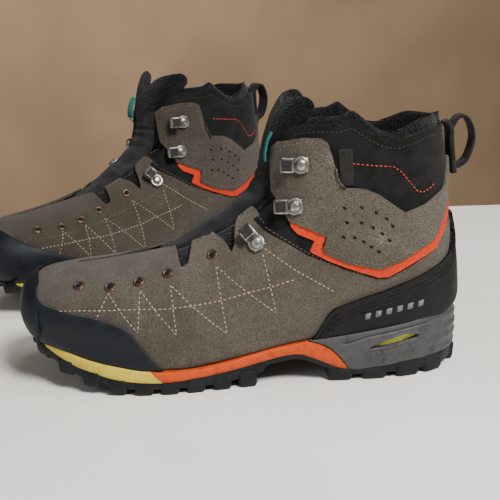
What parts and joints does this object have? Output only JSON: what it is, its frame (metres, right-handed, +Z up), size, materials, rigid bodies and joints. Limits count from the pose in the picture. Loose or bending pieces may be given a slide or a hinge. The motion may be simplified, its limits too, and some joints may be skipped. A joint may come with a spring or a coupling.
{
  "type": "mountaineering boots",
  "caption": "Pair of ankle-high suede mountaineering boots with lugged soles, rubber rands, softshell collars and lacing hooks.",
  "frame": {"origin": "middle of the pair's bounding box, on the floor", "axes": "+Z up, the left boot's toe points to -X and its outer side faces -Y; the right boot stands behind it, turned by 34 degrees"},
  "size_m": [0.3886, 0.3768, 0.1924],
  "materials": {
    "outsole_rubber": "matt moulded rubber, dusty",
    "rand_rubber": "smooth matt rubber, scuffed",
    "midsole_yellow": "moulded foam, fine grain",
    "midsole_orange": "moulded foam, fine grain",
    "frame_grey": "moulded thermoplastic, satin",
    "cushion_lime": "moulded foam, satin",
    "suede": "napped suede, waxed and scuffed",
    "trim_orange": "coated textile, satin",
    "softshell": "twill softshell",
    "terry_lining": "looped terry pile",
    "tongue_fabric": "dense knitted textile",
    "webbing": "woven webbing",
    "hook_steel": "satin stamped steel",
    "antique_copper": "antiqued, worn at the rim",
    "spring_steel": "rolled strip",
    "board": "pressed fibre board",
    "footbed_foam": "felted foam",
    "stiffener": "thermoformed sheet"
  },
  "bodies": {
    "left_boot": {"left_outsole": "outsole_rubber", "left_midsole_toe": "midsole_yellow", "left_midsole_arch": "midsole_orange", "left_heel_frame": "frame_grey", "left_heel_cushion": "cushion_lime", "left_shank": "spring_steel", "left_insole_board": "board", "left_footbed": "footbed_foam", "left_toe_rand": "rand_rubber", "left_heel_rand": "rand_rubber", "left_heel_counter": "stiffener", "left_vamp": "suede", "left_ankle_trim": "trim_orange", "left_collar": "softshell", "left_lining": "terry_lining", "left_loop_tab": "webbing", "left_quarter_outer": "suede", "left_ankle_panel_outer": "suede", "left_eyelet_stay_outer": "antique_copper", "left_locking_hook_outer": "hook_steel", "left_lower_hook_outer": "hook_steel", "left_upper_hook_outer": "hook_steel", "left_quarter_inner": "suede", "left_ankle_panel_inner": "suede", "left_eyelet_stay_inner": "antique_copper", "left_locking_hook_inner": "hook_steel", "left_lower_hook_inner": "hook_steel", "left_upper_hook_inner": "hook_steel"},
    "left_tongue": {"left_tongue": "tongue_fabric"},
    "left_pull_loop": {"left_pull_loop": "webbing"},
    "right_boot": {"right_outsole": "outsole_rubber", "right_midsole_toe": "midsole_yellow", "right_midsole_arch": "midsole_orange", "right_heel_frame": "frame_grey", "right_heel_cushion": "cushion_lime", "right_shank": "spring_steel", "right_insole_board": "board", "right_footbed": "footbed_foam", "right_toe_rand": "rand_rubber", "right_heel_rand": "rand_rubber", "right_heel_counter": "stiffener", "right_vamp": "suede", "right_ankle_trim": "trim_orange", "right_collar": "softshell", "right_lining": "terry_lining", "right_loop_tab": "webbing", "right_quarter_outer": "suede", "right_ankle_panel_outer": "suede", "right_eyelet_stay_outer": "antique_copper", "right_locking_hook_outer": "hook_steel", "right_lower_hook_outer": "hook_steel", "right_upper_hook_outer": "hook_steel", "right_quarter_inner": "suede", "right_ankle_panel_inner": "suede", "right_eyelet_stay_inner": "antique_copper", "right_locking_hook_inner": "hook_steel", "right_lower_hook_inner": "hook_steel", "right_upper_hook_inner": "hook_steel"},
    "right_tongue": {"right_tongue": "tongue_fabric"},
    "right_pull_loop": {"right_pull_loop": "webbing"}
  },
  "joints": [
    {"name": "right_boot_lift", "type": "slide", "parent": "left_boot", "child": "right_boot", "axis": [0, 0, 1], "range_m": [0, 0.25]},
    {"name": "left_tongue_tip", "type": "hinge", "parent": "left_boot", "child": "left_tongue", "pos_m": [-0.02622, -0.1364, 0.086], "axis": [0, -1, 0], "range_deg": [0, 25]},
    {"name": "left_pull_loop_swing", "type": "hinge", "parent": "left_boot", "child": "left_pull_loop", "pos_m": [0.17908, -0.1364, 0.1535], "axis": [-0.1104, 0, 0.9939], "range_deg": [-40, 40]},
    {"name": "right_tongue_tip", "type": "hinge", "parent": "right_boot", "child": "right_tongue", "pos_m": [-0.10831, 0.05416, 0.086], "axis": [0.5592, -0.829, 0], "range_deg": [0, 25]},
    {"name": "right_pull_loop_swing", "type": "hinge", "parent": "right_boot", "child": "right_pull_loop", "pos_m": [0.06189, 0.16896, 0.1535], "axis": [-0.0916, -0.0618, 0.9939], "range_deg": [-40, 40]}
  ]
}
